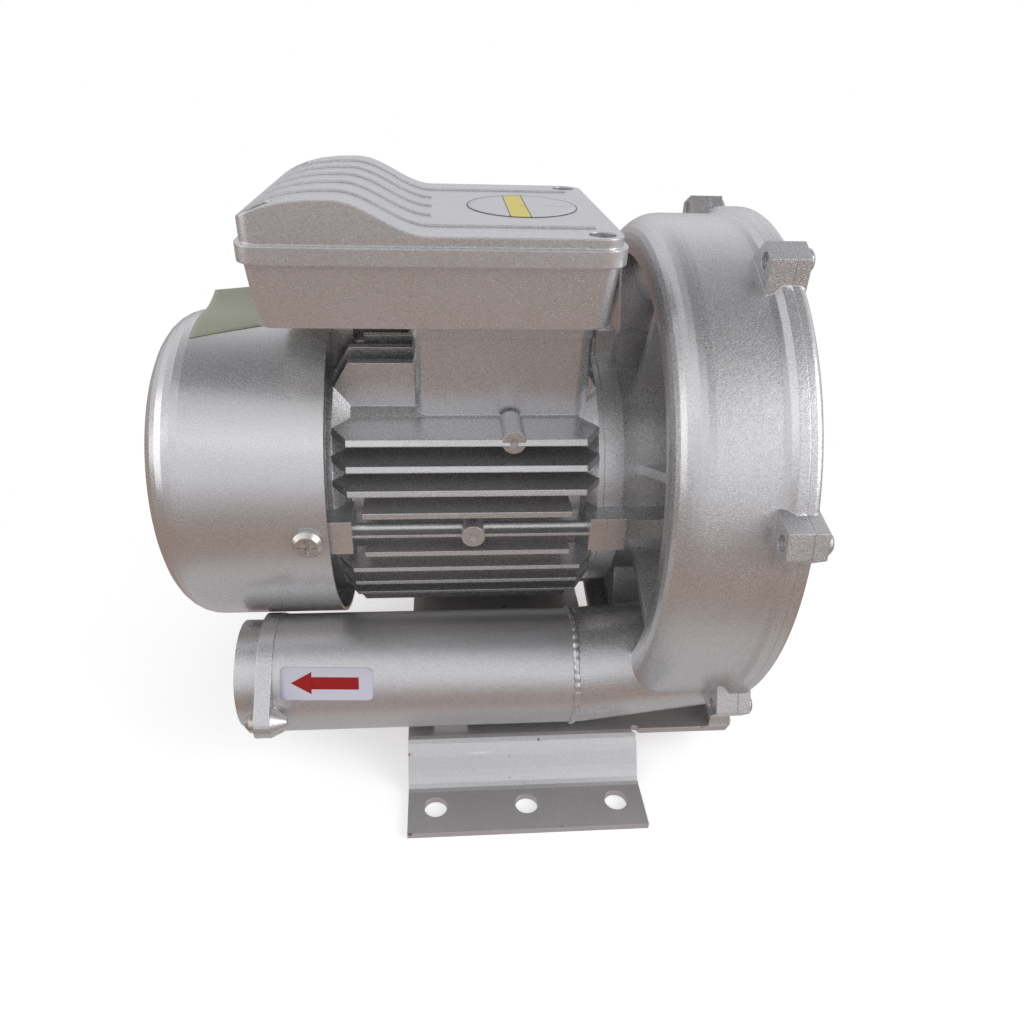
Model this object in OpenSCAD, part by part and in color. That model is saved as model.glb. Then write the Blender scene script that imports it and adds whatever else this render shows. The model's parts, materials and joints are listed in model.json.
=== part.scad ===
// Side channel blower with a finned single-phase motor, a terminal box with
// a humped lid, two silencer tubes and a bent sheet foot.
// Millimetres, +Z up. X runs along the shaft from the fan cowl to the blower
// cover. The origin is the middle of the six foot holes, on the base plane.

/* [Foot] */
// Height of the shaft above the base plane
shaft_h = 126; // [124:0.5:130]
// Pitch of the three foot holes along the shaft
foot_pitch = 41.5; // [38:0.5:45]
// Distance between the two rows of foot holes
foot_gauge = 205; // [200:1:212]
// Diameter of a foot hole
foot_hole_d = 10.4; // [8:0.2:12]
// Length of a foot flange along the shaft
foot_len = 108; // [104:1:112]
// Width from the outer edge of one foot flange to the other
foot_w = 232; // [226:1:238]
// Thickness of the foot sheet
foot_t = 3; // [2.5:0.5:4]
// Width of the raised middle of the foot
foot_deck_w = 152; // [150:1:156]
// Width of the bend between a flange and the deck
foot_bend_w = 18; // [15:1:20]
// Reach of the foot's tongue past the flanges, under the blower
tongue_len = 48.5; // [46:0.5:52]

/* [Silencers] */
// Distance between the two port centres
port_gauge = 123; // [121:1:126]
// Height of the shaft above the port centres
port_drop = 75.5; // [74:0.5:76]
// Height from the top of the foot to the underside of the silencers
tube_lift = 3; // [2:0.5:4]
// Outer radius of a silencer tube
tube_r = 26.5; // [25.5:0.5:27]
// Wall of a silencer tube
tube_wall = 3.5; // [3:0.5:4.5]
// Length of a silencer tube
tube_len = 131; // [124:1:134]
// Radius of the threaded hole in a port
port_bore_r = 20; // [18:0.5:20.5]
// Outer radius of a port's neck
port_neck_r = 24; // [22.5:0.5:25]
// Length of a port's neck in front of its flange
port_neck_len = 10; // [8:1:14]
// Thickness of a port's flange
port_flange_t = 6.5; // [5:0.5:7]
// Inner radius of the foam liner
liner_r = 17.5; // [16:0.5:18.5]

/* [Blower casing] */
// Radius of the casing's barrel
casing_r = 112; // [111:0.5:114]
// Radius of the joint flange
joint_r = 115; // [114.5:0.5:117]
// Length of the casing from its back rim to the joint
casing_len = 45.2; // [44:0.1:47]
// Radius of the back rim's crest
rim_r = 99; // [97:0.5:100]
// Radius of the channel's round section
channel_r = 14; // [12:0.5:14]
// Radius of the circle that the channel's middle follows
channel_pitch_r = 88; // [86:0.5:88]
// Wall of the casing around the channel
casing_wall = 3.5; // [3:0.5:4]
// Thickness of the web behind the impeller
web_t = 5; // [4:0.5:6]
// Angle at the top that the channel sweeps, out of a full turn
channel_sweep = 290; // [276:1:296]
// Thickness of the cover's flange
cover_t = 5.5; // [5:0.5:7]
// Height of the cover's raised ring over its flange
cover_rise = 4.5; // [3:0.5:6]
// Number of ears, with one at the bottom
ear_count = 7; // [5:2:9]
// Width of an ear at its tip
ear_w = 10; // [8:0.5:12]
// Reach of an ear past the barrel
ear_reach = 11; // [10.5:0.5:13]
// Length of a casing ear along the shaft
ear_len = 9.5; // [8:0.5:12]

/* [Impeller] */
// Outer radius of the impeller
impeller_r = 106; // [104:0.5:106]
// Thickness of the impeller's bladed ring
impeller_t = 17.5; // [17:0.5:18]
// Number of vanes
vane_count = 44; // [30:1:52]
// Thickness of a vane
vane_t = 2.2; // [1.6:0.1:3]
// Slant of a vane across the ring
vane_slant = 12; // [0:1:16]
// Thickness of the impeller's disc
disc_t = 5; // [4:0.5:7]
// Running gap round the impeller
impeller_gap = 0.6; // [0.4:0.1:1]

/* [Motor] */
// Length of the finned stator housing
stator_len = 114; // [110:1:116]
// Radius of the stator housing between its fins
shell_r = 50; // [49:0.5:51]
// Radius over the fins
fin_r = 66; // [65:0.5:67]
// Distance from one fin to the next
fin_pitch = 9.1; // [8.6:0.1:9.3]
// Thickness of a fin
fin_t = 2.4; // [1.8:0.1:3]
// Radius of the rings that end the stator housing
end_ring_r = 57; // [56:0.5:58]
// Wall of the stator housing
shell_wall = 5; // [4:0.5:6]
// Radius of the circle that the tie bolts stand on
tie_r = 59; // [58.5:0.5:60]
// Outer radius of the rotor core
rotor_r = 26.5; // [24:0.5:28]
// Length of the stator and rotor cores
core_len = 60; // [50:1:66]
// Radius of the shaft in its bearings
shaft_r = 7.5; // [7.5:0.5:8]
// Gap between the rotor and the stator
air_gap = 0.4; // [0.3:0.1:0.6]
// Width of the neck under the terminal box
neck_w = 64; // [60:1:66]
// Length of that neck along the shaft
neck_len = 73.5; // [70:0.5:76]

/* [Fan and cowl] */
// Radius of the fan cowl
cowl_r = 70; // [69:0.5:71]
// Length of the cowl's straight part
cowl_straight = 55; // [52:1:58]
// Radius of the bend at the cowl's closed end
cowl_bend = 17; // [15:1:19]
// Thickness of the cowl's sheet
cowl_t = 1.5; // [1.2:0.1:1.8]
// Radius of the round holes in the cowl's end
grille_hole_r = 3; // [2:0.5:3]
// Distance between those holes
grille_pitch = 8.4; // [8:0.1:10]
// Outer radius of the cooling fan
fan_r = 58; // [50:1:62]
// Number of blades on the cooling fan
fan_blades = 9; // [6:1:11]

/* [Terminal box] */
// Length of the box along the shaft, at its rim
box_len = 136.5; // [132:0.5:140]
// Width of the box, at its rim
box_w = 121; // [116:0.5:124]
// Height of the box's underside above the shaft
box_rise = 82.5; // [82:0.5:85]
// Height of the box's tub
tub_h = 23.5; // [22:0.5:26]
// Height of the band round the lid
band_h = 5.5; // [4.5:0.5:7]
// Height of the lid's flat part over its band
lid_flat_h = 3.5; // [3:0.5:5]
// Height of the lid's hump over the flat part
lid_hump_h = 11; // [9:0.5:13]
// Wall of the box and of its lid
box_wall = 2.8; // [2.4:0.2:3.4]
// Draft of the tub's sides, from its top to its floor
tub_draft = 2; // [1:0.5:3]
// Number of raised lines on the lid
lid_lines = 5; // [3:2:7]
// Distance between the raised lines
lid_line_pitch = 20; // [17:0.5:21]

/* [Fasteners] */
// Radius of a cover bolt and of a foot bolt
bolt_r = 3; // [2.5:0.5:3.5]
// Radius of a tie bolt
tie_bolt_r = 2.5; // [2:0.5:2.5]
// Radius of a small screw
screw_r = 2; // [1.5:0.5:2]
// Radius of a cowl screw's round head
cowl_head_r = 6.2; // [5:0.1:6.5]

/* [Hidden] */
$fn = 72;

// Gap between two pieces that stay together
seat_gap = 0.05;
// Gap between two pieces that turn on each other
run_gap = 0.08;
// How far a cut runs past the face that it opens
cut = 1;
// How far a boss is sunk into the wall that carries it
root_sink = 3;

// Thickness of the thinnest slice that a tapered body starts or ends with
slice = 0.1;

// Heights that follow the shaft
port_h = shaft_h - port_drop;
foot_rise = port_h - tube_r - tube_lift;
box_floor_h = shaft_h + box_rise;

// Stations along the shaft, from the fan end to the cover
mount_ring_len = 8.3;
pocket_front = 6;
cover_gap = 1;
neck_inset = 5.2;
cowl_lap = 1;
motor_x0 = -83;
stator_x1 = motor_x0 + stator_len;
casing_x0 = stator_x1 + mount_ring_len + pocket_front;
joint_x = casing_x0 + casing_len;
cover_x1 = joint_x + cover_t;
channel_x = joint_x - impeller_t - cover_gap;
neck_x1 = stator_x1 - neck_inset;
neck_x0 = neck_x1 - neck_len;
cowl_x0 = motor_x0 + cowl_lap;
cowl_x1 = cowl_x0 - cowl_straight - cowl_bend;

// Points of an arc, from one angle to another
arc_steps = 8;
function arc(c, r, a0, a1, n = arc_steps) =
  [for (i = [0:n]) c + r * [cos(a0 + (a1 - a0) * i / n), sin(a0 + (a1 - a0) * i / n)]];

// A smooth step from 1 to 0 as s goes from 0 to 1
function ease(s) = (1 + cos(180 * s)) / 2;

// Places children on the shaft's line at x, their own Z along +X
module on_shaft(x = 0) translate([x, 0, shaft_h]) rotate([0, 90, 0]) children();

// Turns children about that line: 0 is the -Y side and 90 is the top
module at_angle(a) rotate([0, 0, -90 - a]) children();

// The four lug angles of the motor
quarter_turns = [0:90:270];

// A ring about the shaft's line, from x0 to x1
module ring(x0, x1, r_out, r_in) {
  on_shaft(x0) difference() {
    cylinder(r = r_out, h = x1 - x0);
    translate([0, 0, -cut]) cylinder(r = r_in, h = x1 - x0 + 2 * cut);
  }
}

// A rectangle with round corners
module round_rect(w, h, r) {
  square([w, h - 2 * r], center = true);
  square([w - 2 * r, h], center = true);
  for (x = [-1, 1], y = [-1, 1]) translate([x * (w / 2 - r), y * (h / 2 - r)]) circle(r = r);
}

// A round-headed screw with a cross recess, along -Z from the face at z = 0
recess_depth_share = 0.5;
recess_wing_share = 1.15;
recess_w_share = 0.26;
module pan_screw(r, head_r, head_h, length) {
  wing = head_r * recess_wing_share;
  slot = head_r * recess_w_share;
  recess = head_h * recess_depth_share;
  translate([0, 0, -length]) cylinder(r = r, h = length);
  difference() {
    union() {
      cylinder(r = head_r, h = head_h - recess);
      translate([0, 0, head_h - recess]) cylinder(r1 = head_r, r2 = head_r - recess, h = recess);
    }
    for (a = [0, 90]) rotate([0, 0, a])
      translate([-wing / 2, -slot / 2, head_h - recess]) cube([wing, slot, head_h]);
  }
}

// A hexagon-headed bolt, along -Z from the face at z = 0
module hex_bolt(r, across, head_h, length) {
  translate([0, 0, -length]) cylinder(r = r, h = length);
  cylinder(r = across / sqrt(3), h = head_h, $fn = 6);
}

// Values of the foot
foot_bend_steps = 10;
tongue_relief_r = 2;
casing_window_w = 108;
window_corner = 6;
window_x = 42;
tongue_corner = 5;
foot_bolt_head_h = 4;
foot_bolt_across = 10;
foot_bolt_depth = 12;
foot_rear_depth = 7.5;
foot_rear_x = -34;
pad_len = 9.7;
pad_w = 20;
pad_out_y = 75;
foot_front_x = joint_x + pad_len / 2;
foot_front_y = pad_out_y - pad_w / 2;

// Height of the foot sheet's top face, s of the way down its bend
function bend_h(s) = foot_t + (foot_rise - foot_t) * ease(s);

// Half of the sheet's top line, from the edge to the middle of the deck
function foot_line(side) = [
  for (i = [foot_bend_steps:-1:0])
    [side * (foot_deck_w / 2 + foot_bend_w * i / foot_bend_steps), bend_h(i / foot_bend_steps)]
];

module foot_section() {
  for (side = [-1, 1]) {
    line = concat([[side * foot_w / 2, foot_t]], foot_line(side), [[0, foot_rise]]);
    under = [for (i = [len(line) - 1:-1:0]) line[i] - [0, foot_t]];
    polygon(concat(line, under));
  }
}

module foot_bracket() {
  tip_x = foot_len / 2 + tongue_len;
  color("silver") difference() {
    union() {
      translate([-foot_len / 2, 0, 0]) rotate([90, 0, 90]) linear_extrude(foot_len) foot_section();
      translate([foot_len / 2 - cut, -foot_deck_w / 2, foot_rise - foot_t])
        cube([tongue_len + cut, foot_deck_w, foot_t]);
    }
    // Room for the casing between the tongue's two arms
    translate([(window_x + tip_x) / 2 + window_corner, 0, foot_rise - foot_t - cut])
      linear_extrude(foot_t + 2 * cut)
        round_rect(tip_x - window_x + 2 * window_corner, casing_window_w, window_corner);
    for (i = [-1:1], side = [-1, 1]) translate([i * foot_pitch, side * foot_gauge / 2, -cut])
      cylinder(d = foot_hole_d, h = foot_t + 2 * cut);
    for (side = [-1, 1]) {
      translate([foot_rear_x, side * port_gauge / 2, 0]) cylinder(r = bolt_r + seat_gap, h = foot_rise + cut);
      translate([foot_front_x, side * foot_front_y, 0]) cylinder(r = bolt_r + seat_gap, h = foot_rise + cut);
      translate([foot_len / 2, side * foot_deck_w / 2, foot_rise - foot_t - cut])
        cylinder(r = tongue_relief_r, h = foot_t + 2 * cut);
      translate([tip_x, side * foot_deck_w / 2, foot_rise - foot_t / 2]) rotate([0, 0, 45])
        cube([tongue_corner, tongue_corner, foot_t + 2 * cut], center = true);
    }
  }
}

module foot_bolts() {
  color("gray") for (side = [-1, 1]) {
    translate([foot_rear_x, side * port_gauge / 2, foot_rise - foot_t]) rotate([180, 0, 0])
      hex_bolt(bolt_r, foot_bolt_across, foot_bolt_head_h, foot_rear_depth);
    translate([foot_front_x, side * foot_front_y, foot_rise - foot_t]) rotate([180, 0, 0])
      hex_bolt(bolt_r, foot_bolt_across, foot_bolt_head_h, foot_bolt_depth);
  }
}

// Values of the silencers
stub_back = 24.3;
tube_x1 = casing_x0 - stub_back;
tube_x0 = tube_x1 - tube_len;
tube_seal_t = 1;
seal_proud = 0.8;
liner_end_gap = 22;
tube_bore_r = tube_r - tube_wall;
stub_step = 2;
stub_bore_r = tube_bore_r - stub_step;
port_ear_r = 6.5;
port_ear_reach = 5;
port_ear_out = tube_r + port_ear_reach;
port_gusset_len = 6.5;
port_rim = 0.6;
port_screw_head_r = 4.2;
port_screw_head_h = 4.6;
rear_pad_len = 16;
rear_pad_w = 18;

// Places children at a port's axis, their own Z along +X: side -1 is the
// outlet, on the -Y side, and 1 is the inlet
module at_port(side, x) translate([x, side * port_gauge / 2, port_h]) rotate([0, 90, 0]) children();

// Places children at the two screws of a port's flange
module port_screw_places() {
  for (side = [-1, 1]) translate([0, side * port_ear_out, 0]) children();
}

module silencer_tube(side) {
  difference() {
    union() {
      at_port(side, tube_x0) cylinder(r = tube_r, h = tube_len);
      at_port(side, tube_x0) port_screw_places()
        cylinder(r1 = port_ear_r, r2 = screw_r, h = port_gusset_len);
      translate([foot_rear_x - rear_pad_len / 2, side * port_gauge / 2 - rear_pad_w / 2, foot_rise])
        cube([rear_pad_len, rear_pad_w, tube_wall + port_h - tube_r - foot_rise]);
    }
    at_port(side, tube_x0 - cut) cylinder(r = tube_bore_r, h = tube_len + 2 * cut);
    at_port(side, tube_x0 - cut) port_screw_places() cylinder(r = screw_r + seat_gap, h = tube_wall + cut);
    translate([foot_rear_x, side * port_gauge / 2, foot_rise - cut])
      cylinder(r = bolt_r + seat_gap, h = foot_rear_depth - foot_t + cut);
  }
}
module outlet_silencer_tube() color("silver") silencer_tube(-1);
module inlet_silencer_tube() color("silver") silencer_tube(1);

module port_flange(side) {
  at_port(side, tube_x0 - port_flange_t) difference() {
    union() {
      for (ear = [-1, 1]) hull() {
        cylinder(r = tube_r + port_rim, h = port_flange_t);
        translate([0, ear * port_ear_out, 0]) cylinder(r = port_ear_r, h = port_flange_t, $fn = 32);
      }
      translate([0, 0, -port_neck_len]) cylinder(r = port_neck_r, h = port_neck_len + cut);
    }
    translate([0, 0, -port_neck_len - cut])
      cylinder(r = port_bore_r, h = port_neck_len + port_flange_t + 2 * cut);
    port_screw_places() translate([0, 0, -cut]) cylinder(r = screw_r + seat_gap, h = port_flange_t + 2 * cut);
  }
}
module outlet_port_flange() color("silver") port_flange(-1);
module inlet_port_flange() color("silver") port_flange(1);

module foam_liner(side) {
  at_port(side, tube_x0 + liner_end_gap) difference() {
    cylinder(r = tube_bore_r - seat_gap, h = tube_len - liner_end_gap);
    translate([0, 0, -cut]) cylinder(r = liner_r, h = tube_len + cut);
  }
}
module outlet_foam_liner() color("dimgray") foam_liner(-1);
module inlet_foam_liner() color("dimgray") foam_liner(1);

module silencer_seals() {
  color("dimgray") for (side = [-1, 1]) at_port(side, tube_x1) difference() {
    cylinder(r = tube_r + seal_proud, h = tube_seal_t);
    translate([0, 0, -cut]) cylinder(r = stub_bore_r, h = tube_seal_t + 2 * cut);
  }
}

module port_screws() {
  color("gray") for (side = [-1, 1]) at_port(side, tube_x0 - port_flange_t)
    port_screw_places() rotate([180, 0, 0])
      pan_screw(screw_r, port_screw_head_r, port_screw_head_h, port_flange_t + tube_wall);
}

// Values of the blower casing
ear_bolt_out = 6.3;
ear_bolt_r = casing_r + ear_bolt_out;
ear_flare = 6;
ear_sink = 1.5;
ear_head_r = 4.6;
ear_head_h = 2.2;
ear_bolt_short = 2;
casing_neck_r = 52;
casing_neck_wall = 5;
bearing_r_out = 17.5;
bearing_w = 11;
bearing_offset = 4;
drive_bearing_x = stator_x1 + bearing_offset;
seat_wall = 5;
rib_t = 4;
rib_count = 8;
arm_w = 9;
seal_r = 13;
seal_t = 5;
seal_shoulder = 3;
seal_x = drive_bearing_x + bearing_w + seal_shoulder;
step_run = 4;
lip_t = 3;
lug_w = 15;
lug_r = 67;
stub_x0 = tube_x1 + tube_seal_t;
stub_end_r_share = 0.94;
stub_lift = 6.5;
channel_port_r = 12;
web_x = channel_x - web_t;
bulge_r = channel_r + casing_wall;
bulge_start = 180 + asin(web_t / bulge_r);
bulge_end = 305;
port_angle = atan2(port_h - shaft_h, port_gauge / 2);
shoulder_r = casing_r - rim_r;
neck_floor_t = 5;
seal_groove_r = 108;
seal_groove_w = 1.6;
seal_groove_h = 1.2;

function casing_line() = concat(
  [[rim_r - lip_t, casing_x0]],
  arc([rim_r, casing_x0 + shoulder_r], shoulder_r, -90, 0),
  [
    [casing_r, joint_x - 2 * step_run],
    [casing_r + (joint_r - casing_r) / 4, joint_x - step_run - step_run / 2],
    [joint_r, joint_x - step_run],
    [joint_r, joint_x],
    [0, joint_x],
    [0, web_x]
  ],
  arc([channel_pitch_r, channel_x], bulge_r, bulge_start, bulge_end),
  [[rim_r - lip_t, casing_x0 + lip_t]]
);

// Turns children to each ear of the casing, from the lowest one round
module ear_places() {
  for (i = [0:ear_count - 1]) at_angle(i * 360 / ear_count - 90) children();
}

// Outline of an ear, wider where it leaves the barrel
module ear_plan() {
  polygon([
    [casing_r - ear_sink, -ear_w / 2 - ear_flare],
    [casing_r + ear_reach, -ear_w / 2],
    [casing_r + ear_reach, ear_w / 2],
    [casing_r - ear_sink, ear_w / 2 + ear_flare]
  ]);
}

// The duct that takes a silencer into the casing's underside
module duct_stub(side) {
  hull() {
    at_port(side, stub_x0) cylinder(r = tube_r, h = step_run, $fn = 96);
    at_port(side, joint_x - 2 * step_run) translate([-stub_lift, 0, 0])
      cylinder(r = tube_r * stub_end_r_share, h = step_run, $fn = 96);
  }
}

module housing_solid() {
  on_shaft() rotate_extrude() polygon(casing_line());
  on_shaft(stator_x1) cylinder(r = end_ring_r, h = mount_ring_len);
  on_shaft(stator_x1) cylinder(r = casing_neck_r, h = channel_x - stator_x1);
  for (side = [-1, 1]) duct_stub(side);
  on_shaft(joint_x - ear_len) ear_places() linear_extrude(ear_len - seat_gap) ear_plan();
  on_shaft(stator_x1) for (a = quarter_turns) at_angle(a) {
    translate([shell_r, -lug_w / 2, 0]) cube([lug_r - shell_r, lug_w, mount_ring_len]);
    translate([shell_r - root_sink, -arm_w / 2, 0])
      cube([lug_r - rib_t - shell_r + root_sink, arm_w, channel_x - stator_x1]);
  }
  on_shaft(casing_x0 + lip_t) for (i = [0:rib_count - 1]) at_angle((i + 0.5) * 360 / rib_count)
    translate([shell_r, -rib_t / 2, 0]) cube([rim_r - lip_t - shell_r, rib_t, web_x - casing_x0 - lip_t]);
}

module housing_ducts() {
  for (side = [-1, 1]) {
    at_port(side, stub_x0 - cut) cylinder(r = stub_bore_r, h = web_x - bulge_r / 2 - stub_x0);
    on_shaft(casing_x0) at_angle(side < 0 ? port_angle : 180 - port_angle)
      translate([channel_pitch_r, 0, 0]) cylinder(r = channel_port_r, h = channel_x - casing_x0);
  }
}

module blower_housing() {
  color("silver") difference() {
    housing_solid();
    housing_ducts();
    // Room for the impeller, and the channel beside it
    on_shaft(channel_x) cylinder(r = impeller_r + impeller_gap, h = joint_x - channel_x + cut);
    on_shaft(channel_x) rotate([0, 0, (360 - channel_sweep) / 2]) rotate_extrude(angle = channel_sweep)
      translate([channel_pitch_r, 0]) circle(r = channel_r);
    ring(joint_x - seal_groove_h, joint_x + cut, seal_groove_r + seal_groove_w, seal_groove_r);
    // Hollow of the neck, bearing seat, seal seat and shaft hole
    ring(stator_x1 - cut, web_x - neck_floor_t, casing_neck_r - casing_neck_wall,
         bearing_r_out + seat_wall);
    on_shaft(stator_x1 - cut)
      cylinder(r = bearing_r_out + seat_gap, h = bearing_offset + bearing_w + cut);
    on_shaft(seal_x) cylinder(r = seal_r + seat_gap, h = channel_x - seal_x + cut);
    on_shaft(stator_x1) cylinder(r = shaft_r + root_sink, h = channel_x - stator_x1);
    // Screw holes
    on_shaft(joint_x - ear_len - cut) ear_places() translate([ear_bolt_r, 0, 0])
      cylinder(r = bolt_r + seat_gap, h = ear_len + 2 * cut);
    on_shaft(stator_x1 - cut) for (a = quarter_turns) at_angle(a) translate([tie_r, 0, 0])
      cylinder(r = tie_bolt_r + seat_gap, h = mount_ring_len + cut);
  }
}

// Values of the cover
cover_edge_r = 3;
cover_ring_in = 66;
cover_ring_out = 104;
cover_slope = 5;
cover_hub_r = 26;
cover_rib_t = 4;
cover_rib_h = 2.5;
cover_rib_count = 8;
cover_dish = 2;

function cover_line() = concat(
  [[0, joint_x], [joint_r, joint_x]],
  arc([joint_r - cover_edge_r, cover_x1 - cover_edge_r], cover_edge_r, 0, 90, 5),
  [
    [cover_ring_out + cover_slope, cover_x1],
    [cover_ring_out, cover_x1 + cover_rise / 2],
    [cover_ring_out - cover_slope, cover_x1 + cover_rise],
    [cover_ring_in + cover_slope, cover_x1 + cover_rise],
    [cover_ring_in, cover_x1 + cover_rise / 2],
    [cover_ring_in - cover_slope, cover_x1],
    [cover_hub_r, cover_x1],
    [cover_hub_r - cover_slope, cover_x1 + cover_rib_h],
    [0, cover_x1 + cover_rib_h]
  ]
);

module blower_cover() {
  color("silver") difference() {
    union() {
      on_shaft() rotate_extrude() polygon(cover_line());
      on_shaft(joint_x + seat_gap) ear_places() linear_extrude(cover_t - 2 * seat_gap) ear_plan();
      on_shaft(cover_x1 - cut) for (i = [0:cover_rib_count - 1]) at_angle(i * 360 / cover_rib_count)
        translate([0, -cover_rib_t / 2, 0]) cube([cover_ring_in, cover_rib_t, cover_rib_h + cut]);
      for (side = [-1, 1])
        translate([joint_x, side * foot_front_y - pad_w / 2, foot_rise])
          cube([pad_len, pad_w, port_h + root_sink - foot_rise]);
    }
    on_shaft(joint_x - cut) cylinder(r = channel_pitch_r - bulge_r - cover_slope, h = cover_dish + cut);
    on_shaft(joint_x - cut) ear_places() translate([ear_bolt_r, 0, 0])
      cylinder(r = bolt_r + seat_gap, h = cover_t + 2 * cut);
    for (side = [-1, 1]) translate([foot_front_x, side * foot_front_y, foot_rise - cut])
      cylinder(r = bolt_r + seat_gap, h = foot_bolt_depth - foot_t + cut);
  }
}

module cover_seal() {
  color("black") ring(joint_x - seal_groove_h + seat_gap, joint_x - seat_gap,
                      seal_groove_r + seal_groove_w - seat_gap, seal_groove_r + seat_gap);
}

module cover_bolts() {
  color("gray") on_shaft(cover_x1) ear_places() translate([ear_bolt_r, 0, 0])
    pan_screw(bolt_r, ear_head_r, ear_head_h, cover_t + ear_len - ear_bolt_short);
}

// Values of the motor's shell
end_ring_t = 2.5;
end_slope = 6.5;
fin_pairs = 4;
top_fin_pairs = 3;
short_fin_inset = 14.5;
thin_fin_t = 1.2;
stator_lug_len = 10;
drive_lug_len = 7;
boss_r = 4.8;
boss_dimple_r = 1.6;
boss_dimple_h = 1.5;
boss_reach = 1;
upper_boss_x = -7.5;
upper_boss_row = 4;
middle_boss_x = -24;
neck_corner = 6;
neck_pad_t = 10.5;
neck_pad_proud = 1;
foot_gasket_t = 1;
neck_top_h = box_floor_h - foot_gasket_t;
wire_duct_w = 20;
wire_duct_len = 34;
wire_duct_y = 6;
box_screw_r = 2.5;
box_screw_depth = 12;
box_screw_inset = 8;
box_screw_x = neck_len / 2 - box_screw_inset;
box_screw_y = neck_w / 2 - box_screw_inset;
neck_mid_x = (neck_x0 + neck_x1) / 2;

// Outline of the shell between the fins, as radius and place
function shell_line() = [
  [0, motor_x0],
  [end_ring_r, motor_x0],
  [end_ring_r, motor_x0 + end_ring_t],
  [shell_r, motor_x0 + end_ring_t + end_slope],
  [shell_r, stator_x1 - end_ring_t - end_slope],
  [end_ring_r, stator_x1 - end_ring_t],
  [end_ring_r, stator_x1],
  [0, stator_x1]
];

// Outline that the fins' tips and slanted ends follow
function fin_line() = [
  [0, motor_x0 + end_ring_t],
  [end_ring_r, motor_x0 + end_ring_t],
  [fin_r, motor_x0 + end_ring_t + end_slope],
  [fin_r, stator_x1 - end_ring_t - end_slope],
  [end_ring_r, stator_x1 - end_ring_t],
  [0, stator_x1 - end_ring_t]
];

// The flat fins seen along the shaft: level ones at the sides and upright
// ones at the top and the bottom. Local X is down and local Y is across
module fin_bars(rows, t, reach) {
  for (k = rows) translate([k * fin_pitch - t / 2, -reach]) square([t, 2 * reach]);
}
module upright_bars(rows, t, reach) {
  for (k = rows) translate([-reach, k * fin_pitch - t / 2]) square([2 * reach, t]);
}

// Rows at both sides of the middle one, from one count to another
function rows(from, to) = [for (s = [-1, 1], k = [from:to]) s * k];

module long_fins() {
  intersection() {
    on_shaft() rotate_extrude() polygon(fin_line());
    on_shaft(motor_x0) linear_extrude(stator_len) {
      fin_bars(rows(2, fin_pairs), fin_t, fin_r);
      upright_bars(rows(2, top_fin_pairs), fin_t, fin_r);
    }
  }
}

module short_fins() {
  on_shaft(motor_x0 + short_fin_inset) linear_extrude(stator_len - 2 * short_fin_inset)
    intersection() {
      circle(r = fin_r);
      union() {
        fin_bars([-1, 1], fin_t, fin_r);
        upright_bars([-1, 1], fin_t, fin_r);
      }
    }
}

module thin_fins() {
  on_shaft(motor_x0 + end_ring_t) linear_extrude(stator_len - 2 * end_ring_t) intersection() {
    circle(r = fin_r);
    union() {
      fin_bars([0], thin_fin_t, fin_r);
      upright_bars([0], thin_fin_t, fin_r);
    }
  }
}

module motor_lugs() {
  for (a = quarter_turns) {
    on_shaft(motor_x0) at_angle(a) translate([shell_r - root_sink, -lug_w / 2, 0])
      cube([lug_r - shell_r + root_sink, lug_w, stator_lug_len]);
    on_shaft(stator_x1 - drive_lug_len) at_angle(a) translate([shell_r - root_sink, -lug_w / 2, 0])
      cube([lug_r - shell_r + root_sink, lug_w, drive_lug_len]);
  }
}

// Round bosses on both sides, level with an upper fin and with the middle one
module boss_places() {
  for (side = [-1, 1]) {
    translate([upper_boss_x, side * sqrt(pow(fin_r, 2) - pow(upper_boss_row * fin_pitch, 2)),
               shaft_h + upper_boss_row * fin_pitch]) rotate([side * 90, 0, 0]) children();
    translate([middle_boss_x, side * (fin_r + boss_reach), shaft_h]) rotate([side * 90, 0, 0]) children();
  }
}

module neck_solid() {
  translate([neck_mid_x, 0, shaft_h]) linear_extrude(neck_top_h - shaft_h)
    round_rect(neck_len, neck_w, neck_corner);
  translate([neck_mid_x, 0, neck_top_h - neck_pad_t]) linear_extrude(neck_pad_t)
    round_rect(neck_len + 2 * neck_pad_proud, neck_w + 2 * neck_pad_proud, neck_corner + neck_pad_proud);
}

module wire_duct(z0, h) {
  translate([neck_mid_x - wire_duct_len / 2, wire_duct_y, z0]) cube([wire_duct_len, wire_duct_w, h]);
}

module box_screw_places() {
  for (x = [-1, 1], y = [-1, 1])
    translate([neck_mid_x + x * box_screw_x, y * box_screw_y, 0]) children();
}

module stator_housing() {
  bore_r = shell_r - shell_wall;
  color("silver") difference() {
    union() {
      on_shaft() rotate_extrude() polygon(shell_line());
      long_fins();
      short_fins();
      thin_fins();
      motor_lugs();
      neck_solid();
      boss_places() cylinder(r = boss_r, h = fin_r - shell_r + boss_r);
    }
    on_shaft(motor_x0 - cut) cylinder(r = bore_r, h = stator_len + 2 * cut);
    on_shaft(motor_x0 - cut) for (a = quarter_turns) at_angle(a) translate([tie_r, 0, 0])
      cylinder(r = tie_bolt_r + seat_gap, h = stator_len + 2 * cut);
    boss_places() translate([0, 0, -cut]) cylinder(r = boss_dimple_r, h = boss_dimple_h + cut);
    wire_duct(shaft_h, neck_top_h - shaft_h + cut);
    box_screw_places() translate([0, 0, neck_top_h - box_screw_depth])
      cylinder(r = box_screw_r + seat_gap, h = box_screw_depth + cut);
  }
}

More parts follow.
